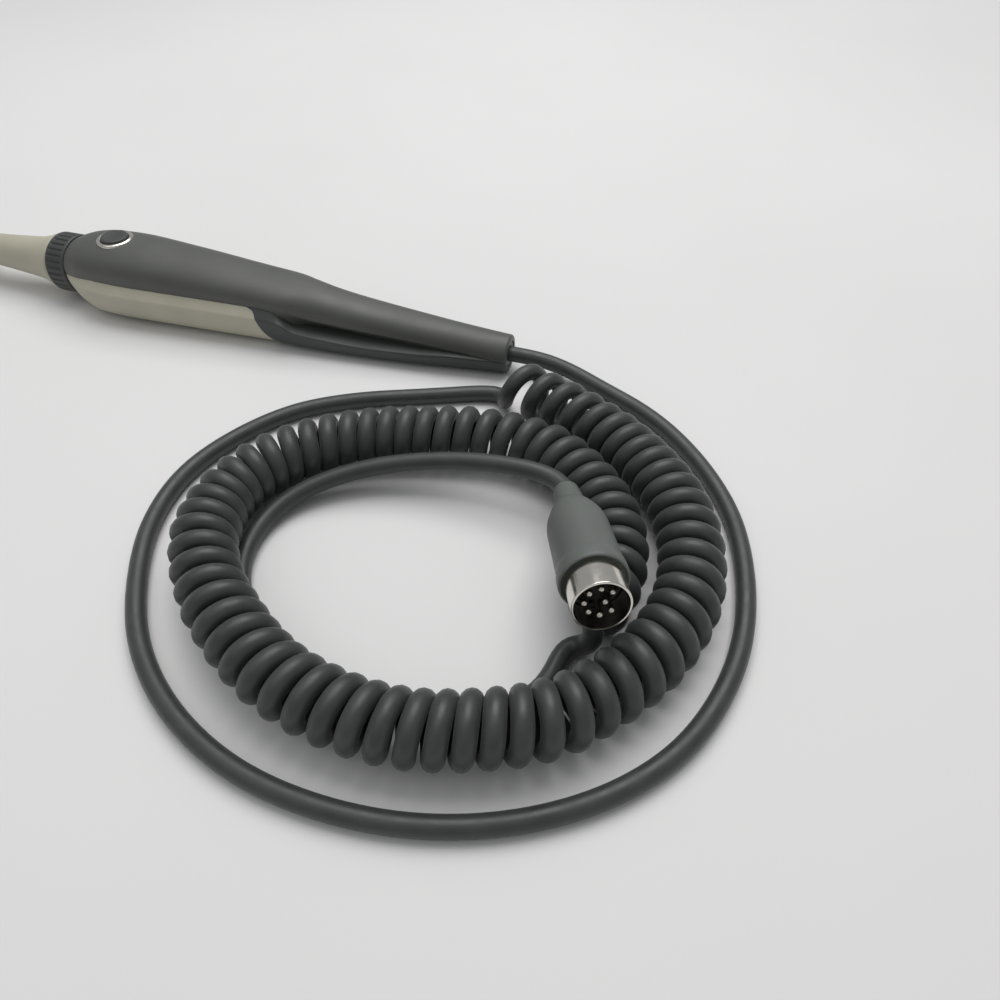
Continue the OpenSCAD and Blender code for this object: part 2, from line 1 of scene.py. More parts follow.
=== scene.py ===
# Intraoral camera on a pale worktop: smooth casing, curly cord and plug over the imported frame.
# All places are in the frame's own metres. The tables and the cord's routes are in millimetres.
import bisect
import json
import math

import bmesh
import bpy
from mathutils import Matrix, Vector


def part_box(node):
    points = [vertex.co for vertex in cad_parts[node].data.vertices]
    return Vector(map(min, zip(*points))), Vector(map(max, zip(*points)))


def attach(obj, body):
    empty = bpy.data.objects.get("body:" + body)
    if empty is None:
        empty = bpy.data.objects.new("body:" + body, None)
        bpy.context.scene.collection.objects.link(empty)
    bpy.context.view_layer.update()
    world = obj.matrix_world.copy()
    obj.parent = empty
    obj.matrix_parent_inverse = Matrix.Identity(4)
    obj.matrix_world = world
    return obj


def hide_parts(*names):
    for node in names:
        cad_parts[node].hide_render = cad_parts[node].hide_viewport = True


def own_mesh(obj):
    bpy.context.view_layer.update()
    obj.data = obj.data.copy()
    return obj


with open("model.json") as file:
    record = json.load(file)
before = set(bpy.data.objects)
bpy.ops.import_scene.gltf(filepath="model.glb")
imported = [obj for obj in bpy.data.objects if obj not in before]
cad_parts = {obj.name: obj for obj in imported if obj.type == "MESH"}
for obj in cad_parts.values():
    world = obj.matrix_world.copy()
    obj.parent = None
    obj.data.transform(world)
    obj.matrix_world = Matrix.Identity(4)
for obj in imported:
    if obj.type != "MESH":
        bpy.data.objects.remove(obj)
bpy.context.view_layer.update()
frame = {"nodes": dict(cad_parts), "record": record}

MM = 0.001
NODES = frame["nodes"]

# ---------------------------------------------------------------- helpers


def smoothstep(t):
    t = min(1.0, max(0.0, t))
    return t * t * (3 - 2 * t)


def value_at(table, x):
    """Value of a table at x, on a smooth curve through its rows that never overshoots them."""
    xs = [row[0] for row in table]
    ys = [row[1] for row in table]
    if x <= xs[0]:
        return ys[0]
    if x >= xs[-1]:
        return ys[-1]
    i = bisect.bisect_right(xs, x) - 1

    def slope(k):
        if k == 0 or k == len(xs) - 1:
            return 0.0
        before = (ys[k] - ys[k - 1]) / (xs[k] - xs[k - 1])
        after = (ys[k + 1] - ys[k]) / (xs[k + 1] - xs[k])
        if before * after <= 0:
            return 0.0
        return 2 * before * after / (before + after)

    width = xs[i + 1] - xs[i]
    t = (x - xs[i]) / width
    rise = (ys[i + 1] - ys[i]) / width
    m0 = slope(i) if i > 0 else rise
    m1 = slope(i + 1) if i + 1 < len(xs) - 1 else rise
    h00 = 2 * t**3 - 3 * t**2 + 1
    h10 = t**3 - 2 * t**2 + t
    h01 = 3 * t**2 - 2 * t**3
    h11 = t**3 - t**2
    return h00 * ys[i] + h10 * width * m0 + h01 * ys[i + 1] + h11 * width * m1


def curve_through(points, step):
    """Points about step apart on a smooth curve through the given points."""
    ends = [points[0] * 2 - points[1], *points, points[-1] * 2 - points[-2]]
    out = []
    for a, b, c, d in zip(ends, ends[1:], ends[2:], ends[3:]):
        t1 = (b - a).length ** 0.5
        t2 = t1 + (c - b).length ** 0.5
        t3 = t2 + (d - c).length ** 0.5
        count = max(2, round((c - b).length / step))
        for k in range(count):
            t = t1 + (t2 - t1) * k / count
            ab = a * ((t1 - t) / t1) + b * (t / t1)
            bc = b * ((t2 - t) / (t2 - t1)) + c * ((t - t1) / (t2 - t1))
            cd = c * ((t3 - t) / (t3 - t2)) + d * ((t - t2) / (t3 - t2))
            abc = ab * ((t2 - t) / t2) + bc * (t / t2)
            bcd = bc * ((t3 - t) / (t3 - t1)) + cd * ((t - t1) / (t3 - t1))
            out.append(abc * ((t2 - t) / (t2 - t1)) + bcd * ((t - t1) / (t2 - t1)))
    out.append(points[-1])
    return out


def add_object(name, mesh):
    obj = bpy.data.objects.new(name, mesh)
    bpy.context.scene.collection.objects.link(obj)
    return obj


def grid_object(name, rows, wrap_rows=False, wrap_points=False):
    """A smooth skin over rows of points; either direction may close on itself."""
    count = len(rows[0])
    points = [p for row in rows for p in row]
    row_span = len(rows) if wrap_rows else len(rows) - 1
    point_span = count if wrap_points else count - 1
    faces = []
    for i in range(row_span):
        for j in range(point_span):
            a = i * count
            b = (i + 1) % len(rows) * count
            k = (j + 1) % count
            faces.append((a + j, b + j, b + k, a + k))
    mesh = bpy.data.meshes.new(name)
    mesh.from_pydata(points, [], faces)
    tidy = bmesh.new()
    tidy.from_mesh(mesh)
    bmesh.ops.remove_doubles(tidy, verts=tidy.verts, dist=1e-6)
    bmesh.ops.recalc_face_normals(tidy, faces=tidy.faces)
    tidy.to_mesh(mesh)
    tidy.free()
    return add_object(name, mesh)


def shade(obj, angle=35):
    obj.data.shade_smooth()
    obj.data.set_sharp_from_angle(angle=math.radians(angle))


def apply_modifiers(obj):
    done = bpy.data.meshes.new_from_object(obj.evaluated_get(bpy.context.evaluated_depsgraph_get()))
    obj.modifiers.clear()
    old = obj.data
    obj.data = done
    bpy.data.meshes.remove(old)


def rounded(profile, default=0.0, steps=5):
    """Outline of (r, t) or (r, t, radius) points, in mm, with its inner corners rounded."""
    out = []
    for i, p in enumerate(profile):
        radius = p[2] if len(p) > 2 else default
        here = Vector(p[:2])
        if radius <= 0 or i in (0, len(profile) - 1):
            out.append(here)
            continue
        a = Vector(profile[i - 1][:2]) - here
        b = Vector(profile[i + 1][:2]) - here
        reach = min(radius, a.length * 0.49, b.length * 0.49)
        start = here + a.normalized() * reach
        end = here + b.normalized() * reach
        for k in range(steps + 1):
            t = k / steps
            out.append(start * (1 - t) ** 2 + here * 2 * t * (1 - t) + end * t**2)
    return out


def lathe(name, profile, place, default=0.0, sides=96, closed=True):
    """Turned piece: an outline of radius and height, in mm, spun about the local Z of place."""
    outline = rounded(profile, default)
    rows = []
    for p in outline:
        row = []
        for k in range(sides):
            a = 2 * math.pi * k / sides
            row.append(place @ Vector((p.x * MM * math.cos(a), p.x * MM * math.sin(a), p.y * MM)))
        rows.append(row)
    obj = grid_object(name, rows, wrap_rows=closed, wrap_points=True)
    shade(obj)
    return obj


def cut(obj, tool):
    """Takes the shape of tool out of obj, and removes tool."""
    change = obj.modifiers.new("cut", "BOOLEAN")
    change.operation = "DIFFERENCE"
    change.solver = "EXACT"
    change.object = tool
    apply_modifiers(obj)
    mesh = tool.data
    bpy.data.objects.remove(tool)
    bpy.data.meshes.remove(mesh)


# ---------------------------------------------------------------- materials


class Nodes:
    """Short names for the node calls that the materials share."""

    def __init__(self, name):
        self.material = bpy.data.materials.new(name)
        self.material.use_nodes = True
        self.tree = self.material.node_tree
        self.shader = self.tree.nodes["Principled BSDF"]
        self.place = self.add("ShaderNodeTexCoord").outputs["Object"]

    def add(self, kind):
        return self.tree.nodes.new(kind)

    def link(self, a, b):
        self.tree.links.new(a, b)

    def noise(self, size, detail=3.0):
        """Noise with features about size metres across."""
        node = self.add("ShaderNodeTexNoise")
        node.inputs["Scale"].default_value = 1 / size
        node.inputs["Detail"].default_value = detail
        self.link(self.place, node.inputs["Vector"])
        return node.outputs["Fac"]

    def spread(self, source, low, high, start=0.3, end=0.7):
        """Maps a value from start..end to low..high."""
        node = self.add("ShaderNodeMapRange")
        node.inputs["From Min"].default_value = start
        node.inputs["From Max"].default_value = end
        node.inputs["To Min"].default_value = low
        node.inputs["To Max"].default_value = high
        self.link(source, node.inputs["Value"])
        return node.outputs["Result"]

    def colours(self, source, dark, light):
        node = self.add("ShaderNodeMix")
        node.data_type = "RGBA"
        node.inputs["A"].default_value = (*dark, 1)
        node.inputs["B"].default_value = (*light, 1)
        self.link(source, node.inputs["Factor"])
        return node.outputs["Result"]

    def bump(self, source, height):
        node = self.add("ShaderNodeBump")
        node.inputs["Strength"].default_value = 1.0
        node.inputs["Distance"].default_value = height
        self.link(source, node.inputs["Height"])
        return node.outputs["Normal"]


def scaled(colour, by):
    return tuple(min(1.0, c * by) for c in colour)


def plastic(name, colour, rough, grain=0.0004, depth=0.00001, vary=0.08, worn=1.25):
    """Moulded plastic: fine spark-eroded grain, faint mottling, and edges rubbed a little paler."""
    n = Nodes(name)
    mottle = n.spread(n.noise(0.018, 4), 0, 1)
    body = n.colours(mottle, scaled(colour, 1 - vary), scaled(colour, 1 + vary))
    edge = n.add("ShaderNodeNewGeometry").outputs["Pointiness"]
    rubbed = n.add("ShaderNodeMix")
    rubbed.data_type = "RGBA"
    rubbed.inputs["B"].default_value = (*scaled(colour, worn), 1)
    n.link(n.spread(edge, 0, 0.6, 0.505, 0.56), rubbed.inputs["Factor"])
    n.link(body, rubbed.inputs["A"])
    n.link(rubbed.outputs["Result"], n.shader.inputs["Base Color"])
    fine = n.noise(grain, 2)
    smudge = n.noise(0.009, 3)
    n.link(n.spread(smudge, rough - 0.05, rough + 0.07), n.shader.inputs["Roughness"])
    n.link(n.bump(fine, depth), n.shader.inputs["Normal"])
    return n.material


def cord_skin(name, colour, rough):
    """Soft PVC sheath: nearly smooth, with a faint ripple and a dusty bloom."""
    n = Nodes(name)
    dust = n.spread(n.noise(0.006, 5), 0, 1)
    shades = n.colours(dust, scaled(colour, 0.88), scaled(colour, 1.18))
    n.link(shades, n.shader.inputs["Base Color"])
    n.link(n.spread(n.noise(0.003, 4), rough - 0.06, rough + 0.08), n.shader.inputs["Roughness"])
    n.link(n.bump(n.noise(0.0011, 4), 0.000025), n.shader.inputs["Normal"])
    n.shader.inputs["Sheen Weight"].default_value = 0.08
    return n.material


def metal(name, colour, rough):
    """Bare metal with a very fine grain and an uneven polish."""
    n = Nodes(name)
    tone = n.spread(n.noise(0.004, 3), 0, 1)
    n.link(n.colours(tone, scaled(colour, 0.93), colour), n.shader.inputs["Base Color"])
    n.shader.inputs["Metallic"].default_value = 1.0
    n.link(n.spread(n.noise(0.0015, 3), rough - 0.03, rough + 0.05), n.shader.inputs["Roughness"])
    n.link(n.bump(n.noise(0.00025, 2), 0.000002), n.shader.inputs["Normal"])
    return n.material


def circuit_board(name):
    """Green solder mask over faint copper tracks, with a fine glass weave under it."""
    n = Nodes(name)
    tracks = n.add("ShaderNodeTexBrick")
    tracks.inputs["Scale"].default_value = 420
    tracks.inputs["Mortar Size"].default_value = 0.03
    tracks.inputs["Color1"].default_value = (0.012, 0.11, 0.045, 1)
    tracks.inputs["Color2"].default_value = (0.016, 0.14, 0.055, 1)
    tracks.inputs["Mortar"].default_value = (0.05, 0.22, 0.09, 1)
    n.link(n.place, tracks.inputs["Vector"])
    n.link(tracks.outputs["Color"], n.shader.inputs["Base Color"])
    n.link(n.bump(tracks.outputs["Fac"], 0.00002), n.shader.inputs["Normal"])
    n.shader.inputs["Roughness"].default_value = 0.32
    return n.material


def clear_glass(name):
    """Coated optical glass: clear, with a faint cool tint that shifts over its face."""
    n = Nodes(name)
    tint = n.spread(n.noise(0.006, 1), 0, 1)
    n.link(n.colours(tint, (0.55, 0.62, 0.8), (0.72, 0.85, 0.8)), n.shader.inputs["Base Color"])
    n.shader.inputs["Transmission Weight"].default_value = 0.85
    n.shader.inputs["IOR"].default_value = 1.52
    n.shader.inputs["Roughness"].default_value = 0.03
    n.shader.inputs["Coat Weight"].default_value = 0.6
    return n.material


def glossy(name, colour, rough, glow=0.0):
    """Smooth moulded resin with a slight ripple."""
    n = Nodes(name)
    tone = n.spread(n.noise(0.003, 2), 0, 1)
    shades = n.colours(tone, scaled(colour, 0.94), scaled(colour, 1.04))
    n.link(shades, n.shader.inputs["Base Color"])
    n.link(n.spread(n.noise(0.002, 2), rough - 0.03, rough + 0.04), n.shader.inputs["Roughness"])
    n.link(n.bump(n.noise(0.0008, 2), 0.000006), n.shader.inputs["Normal"])
    if glow:
        n.shader.inputs["Emission Color"].default_value = (*colour, 1)
        n.shader.inputs["Emission Strength"].default_value = glow
    return n.material


CORD_GREY = (0.036, 0.0405, 0.0378)
TAUPE = (0.08, 0.083, 0.073)
BEIGE = (0.44, 0.42, 0.33)
# Slate of the tail shell: a slightly cooler tone of the cover's plastic, painted darker to stand for the
# shade on the tail's side wall
SLATE_WITH_PAINTED_SHADE = (0.042, 0.048, 0.046)
LOOKS = {
    "taupe_plastic": plastic("taupe_plastic", TAUPE, 0.46),
    "beige_plastic": plastic("beige_plastic", BEIGE, 0.5, worn=1.12),
    "slate_plastic": plastic("slate_plastic", SLATE_WITH_PAINTED_SHADE, 0.44),
    "ring_plastic": plastic("ring_plastic", (0.045, 0.047, 0.045), 0.5, grain=0.0003),
    "black_plastic": plastic("black_plastic", (0.012, 0.012, 0.012), 0.38, worn=1.5),
    "plug_plastic": plastic("plug_plastic", (0.108, 0.118, 0.11), 0.5),
    "ivory_plastic": plastic("ivory_plastic", (0.6, 0.56, 0.43), 0.4, worn=1.1),
    "cord_rubber": cord_skin("cord_rubber", CORD_GREY, 0.44),
    "seal_rubber": cord_skin("seal_rubber", (0.02, 0.02, 0.02), 0.62),
    "wire_plastic": glossy("wire_plastic", (0.32, 0.03, 0.03), 0.35),
    "diffuser_plastic": glossy("diffuser_plastic", (0.82, 0.84, 0.84), 0.28),
    "led_resin": glossy("led_resin", (0.85, 0.78, 0.4), 0.2, glow=0.3),
    "chip_black": glossy("chip_black", (0.018, 0.018, 0.021), 0.4),
    "flex_amber": glossy("flex_amber", (0.42, 0.15, 0.02), 0.25),
    "board_green": circuit_board("board_green"),
    "optical_glass": clear_glass("optical_glass"),
    "steel": metal("steel", (0.56, 0.56, 0.55), 0.3),
    "carriage_metal": metal("carriage_metal", (0.6, 0.6, 0.6), 0.38),
    "plug_nickel": metal("plug_nickel", (0.74, 0.71, 0.65), 0.17),
}


def dress(obj, slot_name, body="handpiece"):
    """Gives a new piece the material of a slot and the body it rides on."""
    obj.data.materials.clear()
    obj.data.materials.append(LOOKS[slot_name])
    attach(obj, body)


for part in frame["record"]["subparts"]:
    for place in NODES[part["node"]].material_slots:
        place.material = LOOKS[part["material_slot"]]

# ---------------------------------------------------------------- camera


def make_camera():
    """The view: from beyond the cord, 47 degrees down, with a phone's wide lens."""
    data = bpy.data.cameras.new("camera")
    data.lens = 27.04
    data.sensor_width = 36
    data.clip_start = 0.005
    camera = bpy.data.objects.new("camera", data)
    bpy.context.scene.collection.objects.link(camera)
    ahead = Vector((-0.1994, 0.6522, -0.7314)).normalized()
    right = Vector((0.9563, 0.2924, 0)).normalized()
    up = right.cross(ahead)
    turn = Matrix((right, up, -ahead)).transposed().to_4x4()
    camera.matrix_world = Matrix.Translation((0.1665, -0.1965, 0.155)) @ turn
    bpy.context.scene.camera = camera


make_camera()

# ---------------------------------------------------------------- cord

CORD_R = 2.5
# Route of the plain stretch from the handpiece, in mm
LEAD = [
    (109.2, 0, 6.6), (112.5, 0, 6.6), (118, 0.8, 6.1), (125, 1, 5),
    (133, -0.8, 3.8), (142, -4.5, 2.8), (152, -9, 2.5), (162, -15.5, 2.5),
    (172, -25, 2.5), (180.5, -36, 2.5), (187, -48, 2.5), (191, -61.5, 2.5),
    (193, -75, 2.5), (193, -88.5, 2.5), (190, -103, 2.5), (183, -118.5, 2.5),
    (171, -132, 2.5), (154, -143, 2.5), (133.5, -150, 2.5), (112.5, -152, 2.5),
    (92, -149.5, 2.5), (72.5, -141.5, 2.5), (56.5, -129, 2.5), (45, -113, 2.5),
    (37, -95, 2.5), (35.5, -76.5, 2.5), (41.5, -59, 2.5), (53, -43, 2.5),
    (69, -32.5, 2.5), (84.5, -26, 2.5), (97, -21, 2.5), (105, -17.5, 2.5),
    (110.6, -16.1, 2.7), (113.5, -17, 2.9),
]
# Route of the middle of the curly stretch; it is raised where it lies on the plain cord
COIL = [
    (113.5, -17, 8.9), (123, -20.3, 8.9), (134, -24.4, 8.9), (147.8, -31.4, 8.9),
    (160.6, -40.9, 8.9), (171, -52.8, 8.9), (177, -67.1, 8.9), (178.5, -83, 8.9),
    (174.5, -98.2, 8.9), (166.5, -111.6, 9.3), (155.3, -123.6, 10.6), (141.2, -130.8, 11.1),
    (126, -134.8, 10.9), (110.8, -134.9, 11), (96, -131.7, 11.6), (82.4, -124.6, 12.4),
    (70.6, -115.3, 12.6), (60.6, -102.2, 11.4), (56.6, -85.5, 9.1), (61.6, -71.2, 8.9),
    (72.4, -60, 8.9), (86.2, -52, 8.9), (101, -47, 8.9), (116.5, -43.4, 8.9),
    (132.5, -44.1, 8.9), (146.3, -51.7, 8.5), (156.6, -63.4, 8.1), (161, -77.5, 7.7),
    (159.4, -91.2, 7.3), (153.5, -101, 6.9),
]
# Outer radius of the curly stretch before eased() draws its turns in, the point after which the
# radius shrinks, and how much it shrinks at each further point
COIL_R = 8.9
SHRINK_FROM = 24
SHRINK = 0.4
# Distance from one turn to the next, what the open turns at the two ends add to it, and how far
# it wanders along the way
PITCH = 5.75
START_PITCH = 1.1
END_PITCH = 2.4
PITCH_SWING = 0.45
# Points aimed at on each turn of the helix
TURN_POINTS = 30
# Route of the plain stretch from the curly stretch to the plug
TAIL = [
    (153.5, -101, 2.8), (152.9, -104, 2.7), (152.5, -107.5, 2.5), (151.9, -112, 2.5),
    (149, -117, 2.5), (143.5, -121, 2.5), (138.3, -123.4, 2.5), (125, -126.8, 2.5),
    (111.6, -127.1, 2.5), (98.2, -125.1, 2.5), (85.1, -119.8, 2.5), (74, -111.4, 2.5),
    (67.3, -100, 2.5), (66.2, -87.5, 3), (70.6, -77.2, 4.5), (79.5, -69, 6.5),
    (91.3, -62.8, 8.5), (105.2, -58.8, 10.5), (119, -57.3, 12.5), (131, -57.8, 14),
    (138.5, -58.9, 14.7), (142.6, -61.2, 14.4), (143.7, -63.9, 15.1),
]
# The plug's own Z runs from the cord to the pins, turned about the vertical and raised at the pins
PLUG_HEADING = -67.5
PLUG_RISE = 14
PLUG_TURN = (Matrix.Rotation(math.radians(PLUG_HEADING), 4, "Z")
             @ Matrix.Rotation(math.radians(90 - PLUG_RISE), 4, "Y"))
PLUG = Matrix.Translation(Vector(TAIL[-1]) * MM) @ PLUG_TURN
UP = Vector((0, 0, 1))


def helix_points():
    """Turns of the curly stretch, wound left-handed round its middle line, from bottom to bottom."""
    line = curve_through([Vector(p) for p in COIL], 1.0)
    along = [0.0]
    for a, b in zip(line, line[1:]):
        along.append(along[-1] + (b - a).length)
    total = along[-1]
    corners = []
    for i, p in enumerate(COIL):
        near = min(range(len(line)), key=lambda k: (line[k] - Vector(p)).length)
        corners.append((along[near], COIL_R - SHRINK * max(0, i - SHRINK_FROM) - CORD_R))

    def at(s):
        i = min(len(line) - 2, max(0, bisect.bisect_right(along, s) - 1))
        t = (s - along[i]) / (along[i + 1] - along[i])
        return line[i].lerp(line[i + 1], t)

    def turns_per_mm(s):
        open_start = 1 - smoothstep((s - 14) / 34)
        open_end = 1 - smoothstep((total - 7 - s) / 12)
        swing = PITCH_SWING * math.sin(0.083 * s) * math.sin(0.031 * s)
        pitch = PITCH + START_PITCH * open_start + END_PITCH * open_end + swing
        return smoothstep((s + 5) / 18) * smoothstep((total + 1.5 - s) / 7) / pitch

    step = 0.05
    count = int(total / step)
    turned = [0.0]
    for k in range(count):
        turned.append(turned[-1] + turns_per_mm((k + 0.5) * step) * step)
    scale = round(turned[-1]) / turned[-1]
    points = []
    wanted = 0.0
    for k, t in enumerate(turned):
        if t * scale < wanted - 1e-9 and k < count:
            continue
        s = min(k * step, total)
        wanted = t * scale + 1 / TURN_POINTS
        centre = at(s)
        ahead = (at(min(total, s + 1.5)) - at(max(0, s - 1.5))).normalized()
        sideways = UP.cross(ahead).normalized()
        reach = value_at(corners, s) - 0.35 * (1 - smoothstep(min(s, total - s) / 6))
        phase = math.pi + 2 * math.pi * t * scale
        points.append(centre + reach * (math.cos(phase) * UP + math.sin(phase) * sideways))
    return points


def line_length(points):
    return sum((b - a).length for a, b in zip(points, points[1:]))


def eased(points):
    """The same line with the corners where its stretches meet softened. It draws the turns in too."""
    for _ in range(6):
        middle = [(a + 2 * b + c) / 4 for a, b, c in zip(points, points[1:], points[2:])]
        points = [points[0], *middle, points[-1]]
    return points


def make_cord():
    """The whole cord is one open spline: plain stretch, curly stretch, plain stretch to the plug."""
    lead = curve_through([Vector(p) for p in LEAD], 2.5)
    tail = curve_through([Vector(p) for p in TAIL], 2.5)
    points = [p * MM for p in eased(lead[:-1] + helix_points() + tail[1:])]
    data = bpy.data.curves.new("cord", "CURVE")
    data.dimensions = "3D"
    data.bevel_depth = CORD_R * MM
    data.bevel_resolution = 5
    data.use_fill_caps = True
    spline = data.splines.new("POLY")
    spline.points.add(len(points) - 1)
    for place, p in zip(spline.points, points):
        place.co = (*p, 1)
    spline.use_smooth = True
    obj = add_object("cord", data)
    return obj, line_length(points)


cord, cord_length = make_cord()
dress(cord, "cord_rubber")
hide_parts("cord_lead", "cord_coil", "cord_tail")

# ---------------------------------------------------------------- plug

PLUG_LENGTH = 45
PLUG_RIM = PLUG_LENGTH - 7.5
SKIRT_R = 6.6
PIN_R = 0.72
PIN_CIRCLE = 3.5
PIN_TOP = 43.4


def make_grip():
    """Moulded grip with a stepped neck and a rolled rim round the skirt."""
    rim = PLUG_RIM
    grip = lathe("plug_grip", [
        (2.5, 0), (3.3, 0, 0.5), (3.7, 4), (4.25, 8, 0.6), (4.9, 9.0, 0.6), (5.6, 10.4, 1), (7.45, 15.5, 3),
        (7.75, rim - 4.6, 0.5), (8.05, rim - 3.2, 0.5), (8.05, rim - 0.6, 0.6), (7.55, rim, 0.4),
        (7.0, rim - 0.9, 0.2), (6.42, rim - 1.0, 0.1), (6.42, rim - 8), (4, rim - 9), (4, 21), (3.2, 21),
        (3.2, 14), (2.5, 14),
    ], PLUG, sides=128)
    dress(grip, "plug_plastic")
    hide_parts("plug_body")
    return grip


def make_skirt():
    """Thin nickel tube, a little narrower where it is held in the grip."""
    held_r = SKIRT_R - 0.2
    inner_r = SKIRT_R - 0.5
    skirt = lathe("plug_skirt", [
        (inner_r, 28), (held_r, 28), (held_r, PLUG_RIM - 1.2), (SKIRT_R, PLUG_RIM - 1),
        (SKIRT_R, PLUG_LENGTH, 0.22), (inner_r, PLUG_LENGTH, 0.22),
    ], PLUG, sides=128)
    dress(skirt, "plug_nickel")
    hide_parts("plug_shell")
    return skirt


def make_core():
    """Black insert that carries the pins, with a keyway cut in its edge."""
    sides = 144
    keyway_at = sides // 4
    rows = []
    for r, t in (
        (0, 28), (6.08, 28), (6.08, 37.6), (5.9, 38), (5.1, 38), (4.9, 37.7), (4.9, 37.2), (0, 37.2),
    ):
        row = []
        for k in range(sides):
            a = 2 * math.pi * k / sides
            in_keyway = r > 4.5 and t > 36 and abs(k - keyway_at) <= 4
            height = 35.5 if in_keyway else t
            row.append(PLUG @ Vector((r * MM * math.cos(a), r * MM * math.sin(a), height * MM)))
        rows.append(row)
    core = grid_object("plug_core", rows, wrap_points=True)
    shade(core)
    dress(core, "black_plastic")
    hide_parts("plug_insert")
    return core


def make_pins():
    """Seven round-nosed pins on a circle and one near the middle, as one mesh."""
    on_circle = [(math.sin(k * math.pi / 4), math.cos(k * math.pi / 4)) for k in range(1, 8)]
    places = [(PIN_CIRCLE * x, PIN_CIRCLE * y) for x, y in on_circle] + [(0, 1.0)]
    merged = bmesh.new()
    for k, (x, y) in enumerate(places):
        spot = PLUG @ Matrix.Translation((x * MM, y * MM, 0))
        pin = lathe("pin_%d" % k, [
            (0, 29), (PIN_R, 29), (PIN_R, PIN_TOP, 0.2), (0.6, PIN_TOP + 0.35, 0.2),
            (0.3, PIN_TOP + 0.6, 0.2), (0, PIN_TOP + 0.65),
        ], spot, sides=32, closed=False)
        merged.from_mesh(pin.data)
        bpy.data.objects.remove(pin)
    mesh = bpy.data.meshes.new("contact_pins")
    merged.to_mesh(mesh)
    merged.free()
    contacts = add_object("contact_pins", mesh)
    shade(contacts)
    dress(contacts, "plug_nickel")
    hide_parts("plug_pins")
    return contacts


plug_pieces = [make_grip(), make_skirt(), make_core(), make_pins()]

# ---------------------------------------------------------------- casing

# Half width of the lower body, and the height of the top of its side wall
TRAY_HALF = [
    (-53, 10), (-50, 11.9), (-46, 13.9), (-40, 15.4), (-30, 16.1), (-15, 15.5), (0, 14.7), (20, 13.5),
    (36, 12.6), (47, 12), (63, 10.9), (78, 9.6), (93, 8), (104, 6.6), (108, 6.15), (110, 6.1),
]
WALL_TOP = [
    (-53, 11.8), (-46, 12), (-40, 12.1), (-27, 12), (23, 11.4), (32, 10.6), (37, 8), (47, 7),
    (63, 6.1), (78, 6.3), (93, 7.1), (110, 6.6),
]
# Half width and height of the parting line under the cover
SHELF_HALF = [
    (-53, 9.85), (-50, 11), (-46, 12.2), (-40, 12.9), (-30, 13.3), (-15, 12.7), (0, 11.9), (20, 10.7),
    (31, 10.1), (34, 9.3), (38, 7.6), (42, 6.4), (47, 5.7), (60, 5.4), (80, 5.8), (93, 6.2),
    (104, 6.2), (110, 6.08),
]
SHELF_Z = [
    (-53, 13.5), (-46, 14.4), (-40, 14.9), (-27, 14.8), (23, 14.1), (29, 13.4), (33, 10.8),
    (37, 8.9), (47, 8), (63, 7.2), (78, 7.1), (93, 7.5), (104, 7.2), (110, 6.9),
]
# Half width of the cover where it is widest
CROWN_HALF = [
    (-53, 9.85), (-50, 11), (-46, 12.2), (-40, 12.9), (-30, 13.3), (-15, 12.7), (0, 11.9), (20, 10.7),
    (31, 10.2), (38, 9.2), (47, 8.3), (60, 7.5), (80, 6.7), (93, 6.35), (104, 6.22), (110, 6.1),
]
# Height at which the crown starts to curve in, and height of the crown
CROWN_BASE = [
    (-53, 13.9), (-46, 14.9), (-40, 15.5), (-27, 15.4), (23, 14.7), (34, 14.3), (38, 13.2), (45, 11.6),
    (60, 10.4), (78, 9.5), (93, 8.4), (104, 7.7), (110, 7.2),
]
CROWN_TOP = [
    (-53, 21.8), (-50, 23), (-46, 24.1), (-40, 24.8), (-30, 24.9), (-6, 23.4), (17, 21.3), (36, 19.6),
    (41, 19), (48, 17.8), (58, 16.5), (75, 14.9), (93, 13.6), (104, 12.9), (110, 12.7),
]
# Height of the belly, and how square each section is: 2 is an ellipse, more is squarer
FLOOR = [(-53, 1.8), (-50, 1), (-46, 0.4), (-40, 0), (93, 0), (104, 0.3), (110, 0.5)]
TRAY_POWER = [(-53, 2), (-46, 2.5), (-40, 3), (36, 3), (78, 2.6), (104, 2.05), (110, 2)]
CROWN_POWER = [(-53, 2), (-46, 2.2), (-30, 2.4), (60, 2.4), (93, 2.1), (110, 2)]
# Where the pale lower shell meets the tail shell: place along the body at each height
SPLIT = [(0, 29), (3, 28), (7.5, 25.5), (11.4, 24), (12.6, 23.3), (13.6, 22), (14.1, 20.4), (16, 20.2)]
# Ends of the casing, and the middle of its end face
FRONT_X = -53
TAIL_X = 110
TAIL_Z = 6.6
# Radius of the rounded edge round the end face
END_ROUND = 0.9
# Height of the neck's and the ring's axis
AXIS_Z = 11.8
# Half the gap at the parting line, half the gap between the lower shells, and the wall thickness
SEAM = 0.07
SPLIT_GAP = 0.05
WALL = 1.3
# Radius of the cover's hole for the button's bezel
BEZEL_SEAT_R = 6.1
# The sections are bent to the split line between these two places
SPLIT_FROM = 19.5
SPLIT_TO = 30.5


def bend(a, corner, b, reach, steps=4):
    """Points that round the corner between two straight runs."""
    start = corner + (a - corner).normalized() * reach
    end = corner + (b - corner).normalized() * reach
    out = []
    for k in range(steps + 1):
        t = k / steps
        out.append(start * (1 - t) ** 2 + corner * 2 * t * (1 - t) + end * t**2)
    return out


